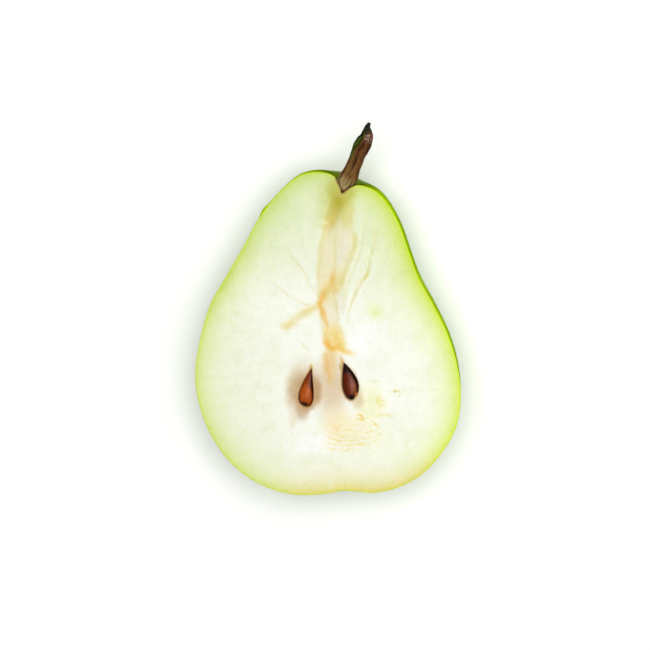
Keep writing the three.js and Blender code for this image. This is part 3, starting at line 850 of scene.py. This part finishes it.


# ---- The stem ------------------------------------------------------------------------------
# A woody stalk that grew out of the hollow. Its bark is ridged lengthwise, olive on the flank
# away from the light, partly its own colour and partly painted shade, and torn where it leaves
# the flesh; its top broke off and dried black.

# x, y, z, half width, half thickness
STEM = np.array([
    [0.9, 48.9, -3.1, 0.7, 0.7],
    [0.7, 50.6, -3.0, 1.0, 1.0],
    [0.85, 52.2, -2.9, 1.7, 1.6],
    [1.45, 54.0, -2.8, 2.3, 1.9],
    [2.6, 56.2, -2.7, 2.2, 1.85],
    [3.7, 58.6, -2.7, 1.95, 1.75],
    [4.45, 60.6, -2.6, 1.85, 1.7],
    [5.1, 62.3, -2.6, 2.1, 1.8],
    [6.02, 64.0, -2.5, 2.06, 1.8],
    [6.85, 65.6, -2.4, 1.8, 1.6],
    [7.1, 67.0, -2.4, 1.3, 1.2],
    [7.2, 68.3, -2.4, 0.78, 0.75],
    [7.72, 69.5, -2.4, 0.4, 0.4],
])


def capped(rings, ends=None):
    """Points and faces of a closed surface: rings of points joined in their order, and closed by
    a point beyond each end ring, which is that ring's own middle where none is given."""
    ids = np.arange(rings[..., 0].size).reshape(rings.shape[:2])
    ids = np.column_stack([ids, ids[:, 0]])
    if ends is None:
        ends = np.stack([rings[0].mean(0), rings[-1].mean(0)])
    start = np.full(rings.shape[1], rings[..., 0].size)
    faces = [
        grid_faces(ids),
        np.stack([start, ids[0, :-1], ids[0, 1:]], -1),
        np.stack([start + 1, ids[-1, 1:], ids[-1, :-1]], -1),
    ]
    return np.concatenate([rings.reshape(-1, 3), ends]), faces


def tube(stations, steps, turns, shape):
    """A closed surface along stations of x, y, z, half width and half thickness. Its section is
    an ellipse square to the path, its radius multiplied by shape(share along, angle). The steps
    are a little shorter at both ends. Returns points, faces, and each point's share along and
    angle."""
    even = np.linspace(0, 1, steps)
    t = 0.35 * (1 - np.cos(np.pi * even)) / 2 + 0.65 * even
    line = through(stations, t)
    ahead = np.gradient(line[:, :3], axis=0)
    ahead /= np.linalg.norm(ahead, axis=1)[:, None]
    side = np.cross(ahead, [0.0, 0.0, 1.0])
    side /= np.linalg.norm(side, axis=1)[:, None]
    up = np.cross(side, ahead)
    angle = np.linspace(0, 2 * np.pi, turns, endpoint=False)
    share, angles = np.meshgrid(t, angle, indexing="ij")
    size = shape(share, angles)[..., None]
    points = line[:, None, :3] + size * (
        side[:, None, :] * (line[:, None, 3:4] * np.cos(angles)[..., None])
        + up[:, None, :] * (line[:, None, 4:5] * np.sin(angles)[..., None]))
    share = np.append(share.ravel(), [0.0, 1.0])
    angles = np.append(angles.ravel(), [0.0, 0.0])
    return *capped(points), share, angles


def bark_shape(share, angle):
    """Ridges lengthwise, 1 + 0.05 cos(7 a) and finer, that sway a little on their way up, with
    a deep furrow down the front, swellings along the stalk and a frayed foot."""
    a = angle + 0.35 * np.sin(5.0 * share) + 0.12 * np.sin(17 * share)
    ridges = 0.05 * np.cos(7 * a + 0.6) + 0.03 * np.cos(13 * a + 2.0) + 0.018 * np.cos(23 * a)
    furrow = -0.16 * np.exp(-((np.angle(np.exp(1j * (a - 1.75))) / 0.16) ** 2)) * smooth(0.28, 0.4, share)
    furrow = furrow * smooth(0.8, 0.68, share)
    knots = 0.03 * np.sin(31 * share + 2 * angle) + 0.02 * np.sin(57 * share - 3 * angle)
    fray = 0.07 * np.sin(9 * angle + 4) * np.sin(70 * share) * smooth(0.32, 0.2, share)
    return 1 + ridges + furrow + knots + fray


stem_points, stem_faces, stem_share, stem_angle = tube(STEM, 170, 96, bark_shape)
stem, _ = build("stem_bark", stem_points, stem_faces)


def bark_colours(share, angle):
    """Red brown in front, green on the left flank above the middle, partly its own colour and
    partly painted shade and near black at its far edge as painted shade, grey green and straw at the
    foot, black at the broken tip. Angle 0 is the stalk's right and a quarter turn its front."""
    colour = np.tile([104.0, 65, 31], (len(share), 1))
    colour = blend(colour, (130, 96, 48), smooth(0.62, 0.35, share) * 0.85)
    groove = np.exp(-((np.sin(3.5 * angle + 1.2 * share + 0.4) / 0.3) ** 2)) * smooth(0.3, 0.42, share)
    colour = blend(colour, (50, 26, 12), 0.85 * groove * smooth(0.9, 0.76, share))
    colour = blend(colour, (110, 68, 32), smooth(1.0, 0.2, angle) * 0.7)
    border = 1.7 + 0.42 * np.clip((0.75 - share) / 0.23, 0, 1)
    # the left flank: green, partly its own colour and partly painted shade, darkest as painted shade at its
    # far edge
    flank = smooth(-0.06, 0.12, angle - border) * smooth(5.2, 4.4, angle) * smooth(0.44, 0.5, share)
    colour = blend(colour, (84, 94, 18), flank)
    colour = blend(colour, (64, 82, 12), flank * smooth(0.15, 0.45, angle - border))
    colour = blend(colour, (14, 18, 4), flank * smooth(2.75, 3.3, angle + 0.7 * smooth(0.62, 0.78, share)))
    foot = smooth(0.34, 0.24, share)
    colour = blend(colour, (176, 160, 110), 0.85 * foot)
    colour = blend(colour, (124, 92, 50), 0.7 * foot * smooth(1.3, 0.5, angle))
    colour = blend(colour, (116, 72, 28), smooth(0.19, 0.14, share))
    red = smooth(0.7, 0.76, share) * smooth(0.86, 0.82, share) * smooth(0.8, 0.4, angle)
    colour = blend(colour, (118, 40, 16), 0.85 * red)
    return linear(blend(colour, (50, 50, 32), smooth(0.81, 0.88, share + 0.03 * smooth(1.1, 1.9, angle))))


paint(stem, "bark", bark_colours(stem_share, stem_angle))
paint(stem, "round", stem_angle)
paint(stem, "along", stem_share)


def bark_material():
    """The painted colours of the bark, streaked lengthwise and rough."""
    material, tree, body = shader("stem_bark")
    colour = put(tree, "Attribute", "Color", attribute_name="bark")
    turn = put(tree, "Attribute", "Fac", attribute_name="round")
    along = put(tree, "Attribute", "Fac", attribute_name="along")
    # streaks run along the stalk: noise on its round and, much drawn out, its length
    where = put(tree, "CombineXYZ", 0, {
        "X": sums(tree, "MULTIPLY", put(tree, "Math", 0, {0: turn}, operation="COSINE"), 3.2),
        "Y": sums(tree, "MULTIPLY", put(tree, "Math", 0, {0: turn}, operation="SINE"), 3.2),
        "Z": sums(tree, "MULTIPLY", along, 4.5),
    })
    broad = noise(tree, where, 1.6, 4, 0.65, 0.4)
    thin = noise(tree, where, 4.5, 4, 0.7, 0.3)
    colour = tinted(tree, colour, (188, 148, 92), thin, 0.52, 0.66, 0.35, "OVERLAY")
    colour = tinted(tree, colour, (120, 92, 66), broad, 0.46, 0.6, 0.85, "MULTIPLY")
    colour = tinted(tree, colour, (96, 70, 50), thin, 0.47, 0.36, 0.85, "MULTIPLY")
    # pale splinters below the broken tip
    spot = put(tree, "TexCoord", "Object")
    chips = noise(tree, spot, 3200, 3, 0.7)
    band = sums(tree, "MULTIPLY", ramp(tree, along, 0.7, 0.75), ramp(tree, along, 0.83, 0.79))
    front = sums(tree, "MULTIPLY", ramp(tree, turn, 0.3, 0.6), ramp(tree, turn, 1.75, 1.5))
    chips = sums(tree, "MULTIPLY", ramp(tree, chips, 0.53, 0.58), sums(tree, "MULTIPLY", band, front))
    colour = mixed(tree, chips, colour, linear((206, 190, 168)))
    body.inputs["Roughness"].default_value = 0.7
    body.inputs["Specular IOR Level"].default_value = 0.1
    height = sums(tree, "ADD", sums(tree, "MULTIPLY", broad, 0.8), thin)
    dress(tree, body, colour, height, 0.8, 0.00025)
    return material


stem.data.materials.append(bark_material())
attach(stem, "root")
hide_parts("stem")


# ---- The seeds -----------------------------------------------------------------------------
# Two ripe seeds, flattened teardrops with a smooth tough coat, that lie loose in the pockets
# with their tips towards the stem. One is amber brown and the other nearly black. Both coats
# carry painted shadow where the pocket walls shade them, and the dark one a painted highlight.


def seed_surface(seed, steps=90, turns=72):
    """A teardrop: at s along it the section is a rounded lens, half width wide sin(pi s^b)^f and
    half thickness thick sin(pi s^b)^f, its corners rounded as |cos|^0.9 and |sin|^1.1. Returns
    points, faces, and each point's share along and place across, -1 left to 1 right."""
    s = (1 - np.cos(np.linspace(0, np.pi, steps + 2)[1:-1])) / 2
    middle, swell = seed_line(seed, s)
    _, _, along, right = seed_frame(seed)
    angle = np.linspace(0, 2 * np.pi, turns, endpoint=False)
    swells, angles = np.meshgrid(swell, angle, indexing="ij")
    wide = seed["wide"] * swells * np.sign(np.cos(angles)) * np.abs(np.cos(angles)) ** 0.9
    high = seed["thick"] * swells * np.sign(np.sin(angles)) * np.abs(np.sin(angles)) ** 1.1
    plane = middle[:, None, :] + wide[..., None] * right
    points = np.concatenate([plane, (high - SEED_DEPTH)[..., None]], -1)
    foot, tip, _, _ = seed_frame(seed)
    ends = np.array([[*foot, -SEED_DEPTH], [*tip, -SEED_DEPTH]])
    shares = np.append(np.repeat(s, turns), [0.0, 1.0])
    edges = np.append(np.cos(angles).ravel(), [1.0, 1.0])
    return *capped(points, ends), shares, edges


def amber_coat(s, edge):
    """Amber, redder towards the tip, with a dark seam down the right that is partly painted
    shadow of the pocket wall, and painted shade about the foot and the lower left, where the gap
    to the pocket is deepest.
    """
    colour = np.tile([170.0, 78, 16], (len(s), 1))
    colour = blend(colour, (108, 38, 8), smooth(0.4, 0.85, s))
    # the right seam, partly painted shadow that the pocket wall casts on the coat
    seam_and_shadow = smooth(0.5, 0.9, edge + 0.35 * smooth(0.3, 0.7, s)) * (0.5 + 0.42 * smooth(0.2, 0.5, s))
    colour = blend(colour, (48, 14, 6), seam_and_shadow)
    colour = blend(colour, (120, 50, 16), smooth(-0.6, -0.95, edge) * 0.6)
    # painted shade in the deep gap at the foot and along the lower left
    colour = blend(colour, (26, 10, 5), smooth(0.15, 0.05, s) * smooth(0.85, 0.1, edge) * 0.95)
    colour = blend(colour, (26, 10, 5), smooth(0.36, 0.1, s) * smooth(-0.62, -0.9, edge) * 0.9)
    colour = blend(colour, (110, 60, 20), smooth(0.06, 0.0, s) * 0.6)
    return linear(blend(colour, (34, 13, 6), smooth(0.86, 0.95, s)))


def dark_coat(s, edge):
    """Red brown in the middle, with a painted highlight low on the right, near black along the right
    seam, partly painted shadow of the pocket wall, at the tip and at the foot, where a chip of
    golden tissue still sticks."""
    colour = np.tile([98.0, 40, 22], (len(s), 1))
    # painted highlight: a paler red-brown spot low on the right of the coat
    colour = blend(colour, (140, 76, 50), smooth(0.35, 0.0, np.hypot(s - 0.3, 0.4 * (edge - 0.35))))
    colour = blend(colour, (88, 28, 8), smooth(0.2, -0.6, edge))
    colour = blend(colour, (58, 20, 8), smooth(-0.7, -0.98, edge))
    # the right seam, partly painted shadow that the pocket wall casts on the coat
    colour = blend(colour, (22, 8, 4), smooth(0.62, 0.92, edge + 0.3 * smooth(0.3, 0.7, s)) * 0.95)
    colour = blend(colour, (28, 10, 4), smooth(0.66, 0.8, s))
    colour = blend(colour, (26, 14, 16), smooth(0.17, 0.07, s))
    chip = smooth(0.12, 0.04, np.abs(s - 0.09)) * smooth(0.45, 0.8, edge)
    return linear(blend(colour, (188, 118, 48), chip))


def coat_material(name, rough):
    """The painted colours of the coat, finely streaked lengthwise, with a low polish."""
    material, tree, body = shader(name)
    colour = put(tree, "Attribute", "Color", attribute_name="coat")
    along = put(tree, "Attribute", "Fac", attribute_name="along")
    spot = put(tree, "TexCoord", "Object")
    skew = put(tree, "Mapping", 0, {"Vector": spot, "Scale": (1.0, 0.22, 1.0)})
    streaks = noise(tree, skew, 2200, 3, 0.6)
    colour = tinted(tree, colour, (70, 26, 10), streaks, 0.42, 0.7, 0.35, "MULTIPLY")
    tree.links.new(ramp(tree, along, 0.0, 1.0, rough, rough + 0.12), body.inputs["Roughness"])
    body.inputs["Specular IOR Level"].default_value = 0.1
    body.inputs["Coat Weight"].default_value = 0.04
    body.inputs["Coat Roughness"].default_value = 0.2
    grain = noise(tree, spot, 5200, 2)
    height = sums(tree, "ADD", streaks, sums(tree, "MULTIPLY", grain, 0.4))
    dress(tree, body, colour, height, 0.35, 0.00006)
    return material


for node, coat, slot, rough in (
    ("seed_left", amber_coat, "seed_brown", 0.4),
    ("seed_right", dark_coat, "seed_dark", 0.36),
):
    points, faces, share, edge = seed_surface(SEEDS[node])
    seed, _ = build(node + "_coat", points, faces)
    paint(seed, "coat", coat(share, edge))
    paint(seed, "along", share)
    seed.data.materials.append(coat_material(node + "_coat", rough))
    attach(seed, "root")
    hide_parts(node)


# ---- The calyx -----------------------------------------------------------------------------
# What is left of the flower, in the basin at the bottom: five dried sepals that spread from a
# short cup, and the shrivelled stamens inside it. It grew with the fruit.

basin = RIBS[-1]
CALYX = np.array([basin[0], basin[1] + 0.9, -basin[4]])
SEPAL = dict(start=0.25, reach=2.3, wide=0.62, thick=0.12, edge=0.28)
SEPALS, STAMENS = 5, 7
# The cup: height up the fruit and radius.
CUP = [(1.3, 0.9), (0.9, 1.0), (0.4, 1.05), (0.1, 0.9), (0.0, 0.5)]


def sepal_surface(turn, curl, steps=28, turns=16):
    """A dried sepal as a flat tube: at u along it the half width is wide sin(pi u^0.55)^0.8, the
    middle goes out as reach u and bends as curl sin(2.2 u), with raised edges and a slight wave.
    It starts on the cup and ends in a point."""
    around = np.linspace(0, 2 * np.pi, turns, endpoint=False)
    u, angle = np.meshgrid(np.linspace(0.02, 0.985, steps), around, indexing="ij")
    half = SEPAL["wide"] * np.clip(np.sin(np.pi * u**0.55), 0.02, 1) ** 0.8
    across = half * np.cos(angle) * (1 + 0.1 * np.sin(13 * u + turn))
    out = SEPAL["start"] + SEPAL["reach"] * u
    drop = 0.05 * np.sin(9 * u + 3 * turn) * np.cos(angle) - curl * np.sin(2.2 * u)
    drop = drop + SEPAL["edge"] * np.abs(np.cos(angle)) ** 1.5 * half
    drop = drop + SEPAL["thick"] * np.sin(angle) * half**0.3
    c, s = np.cos(turn), np.sin(turn)
    points = np.stack([out * c - across * s, drop, out * s + across * c], -1) + CALYX
    return capped(points)


def joined(parts):
    """Points and faces of several closed surfaces as one."""
    points, faces, count = [], [], 0
    for part_points, part_faces in parts:
        points.append(part_points)
        faces += [block + count for block in part_faces]
        count += len(part_points)
    return np.concatenate(points), faces


def stamen(turn, reach):
    """A shrivelled thread that leans out of the cup and ends in a small knob. Its stations are
    distance from the cup's middle, height up the fruit, and radius."""
    c, s = np.cos(turn), np.sin(turn)
    rows = [
        (0.35, 1.1, 0.13),
        (0.5, 0.7, 0.1),
        (0.5 + 0.3 * reach, 0.2, 0.08),
        (0.4 + reach, -0.3, 0.1),
        (0.35 + reach, -0.45, 0.04),
    ]
    stations = [[CALYX[0] + r * c, CALYX[1] + h, CALYX[2] + r * s, w, w] for r, h, w in rows]
    return tube(np.array(stations), 18, 8, lambda share, a: 1 + 0.15 * np.sin(3 * a + 9 * share))[:2]


cup_stations = np.array([[CALYX[0], CALYX[1] + h, CALYX[2], r, r] for h, r in CUP])
parts = [
    sepal_surface(0.4 + 2 * np.pi * k / SEPALS + 0.12 * np.sin(5 * k), 0.5 + 0.12 * np.cos(3 * k))
    for k in range(SEPALS)
]
parts += [
    stamen(0.9 + 2 * np.pi * k / STAMENS, 0.25 + 0.1 * np.sin(4 * k))
    for k in range(STAMENS)
]
parts.append(tube(cup_stations, 20, 30, lambda share, a: 1 + 0.05 * np.sin(10 * a))[:2])
calyx_points, calyx_faces = joined(parts)
calyx, _ = build("calyx_dried", calyx_points, calyx_faces)


def dried_material():
    """Dry brown, mottled and rough."""
    material, tree, body = shader("calyx_dried")
    spot = put(tree, "TexCoord", "Object")
    broad = noise(tree, spot, 900, 4, 0.65)
    fine = noise(tree, spot, 3600, 3, 0.7)
    colour = mixed(tree, ramp(tree, broad, 0.35, 0.65), linear((58, 42, 28)), linear((112, 88, 54)))
    colour = tinted(tree, colour, (28, 20, 14), fine, 0.5, 0.72, 0.6)
    body.inputs["Roughness"].default_value = 0.8
    dress(tree, body, colour, fine, 0.6, 0.0002)
    return material


calyx.data.materials.append(dried_material())
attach(calyx, "root")
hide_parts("calyx")


# ---- The floor, the light and the camera ----------------------------------------------------
# A plain white table, an even white sky with two large soft lamps, and a long lens that looks
# down on the cut face, a little from its right and from the stem's end.

floor_mesh = bpy.data.meshes.new("table_top")
HALF = 3.0
corners = [(-HALF, -HALF, 0), (HALF, -HALF, 0), (HALF, HALF, 0), (-HALF, HALF, 0)]
floor_mesh.from_pydata(corners, [], [(0, 1, 2, 3)])
floor = bpy.data.objects.new("table_top", floor_mesh)
bpy.context.scene.collection.objects.link(floor)
white, tree, body = shader("table_white")
spot = put(tree, "TexCoord", "Object")
speck = noise(tree, spot, 30, 2)
colour = mixed(tree, speck, linear((250, 250, 250)), linear((254, 254, 254)))
tree.links.new(colour, body.inputs["Base Color"])
body.inputs["Roughness"].default_value = 0.9
body.inputs["Specular IOR Level"].default_value = 0.1
floor.data.materials.append(white)

world = bpy.data.worlds.new("even_sky")
world.use_nodes = True
world.node_tree.nodes["Background"].inputs["Color"].default_value = (1, 1, 1, 1)
world.node_tree.nodes["Background"].inputs["Strength"].default_value = 0.28
bpy.context.scene.world = world


def lamp(name, place, target, size, watts):
    """A square soft lamp at place, size metres across, turned to face target."""
    light = bpy.data.lights.new(name, "AREA")
    light.energy, light.size = watts, size
    made = bpy.data.objects.new(name, light)
    made.location = place
    made.rotation_euler = (Vector(target) - Vector(place)).to_track_quat("-Z", "Y").to_euler()
    bpy.context.scene.collection.objects.link(made)
    return made


# the point on the cut face that the camera looks at
centre = Vector(((np.array([-3.6, 16.85, 0.0]) + PLACE) * MM).tolist())
lamp("key", centre + Vector((0.6, 0.35, 0.9)), centre, 0.5, 0.9)

TILT_RIGHT, TILT_UP = np.radians(9.5), np.radians(5.5)
REACH = 0.85  # from the camera to the fruit
FIELD = 0.1695  # how much the picture takes in across, at the fruit
camera = bpy.data.cameras.new("camera")
camera.sensor_width = 36
camera.lens = 36 * REACH / FIELD
eye = bpy.data.objects.new("camera", camera)
aim = Vector((np.tan(TILT_RIGHT), np.tan(TILT_UP), 1.0)).normalized()
eye.location = centre + REACH * aim
lamp("overhead", centre + 1.25 * aim, centre, 0.55, 14.0)
forward = -aim
right = forward.cross(Vector((0, 1, 0))).normalized()
up = right.cross(forward)
rotation = [[right[i], up[i], aim[i]] for i in range(3)]
eye.rotation_euler = Matrix(rotation).to_euler()
bpy.context.scene.collection.objects.link(eye)
bpy.context.scene.camera = eye
bpy.context.scene.view_settings.view_transform = "Standard"
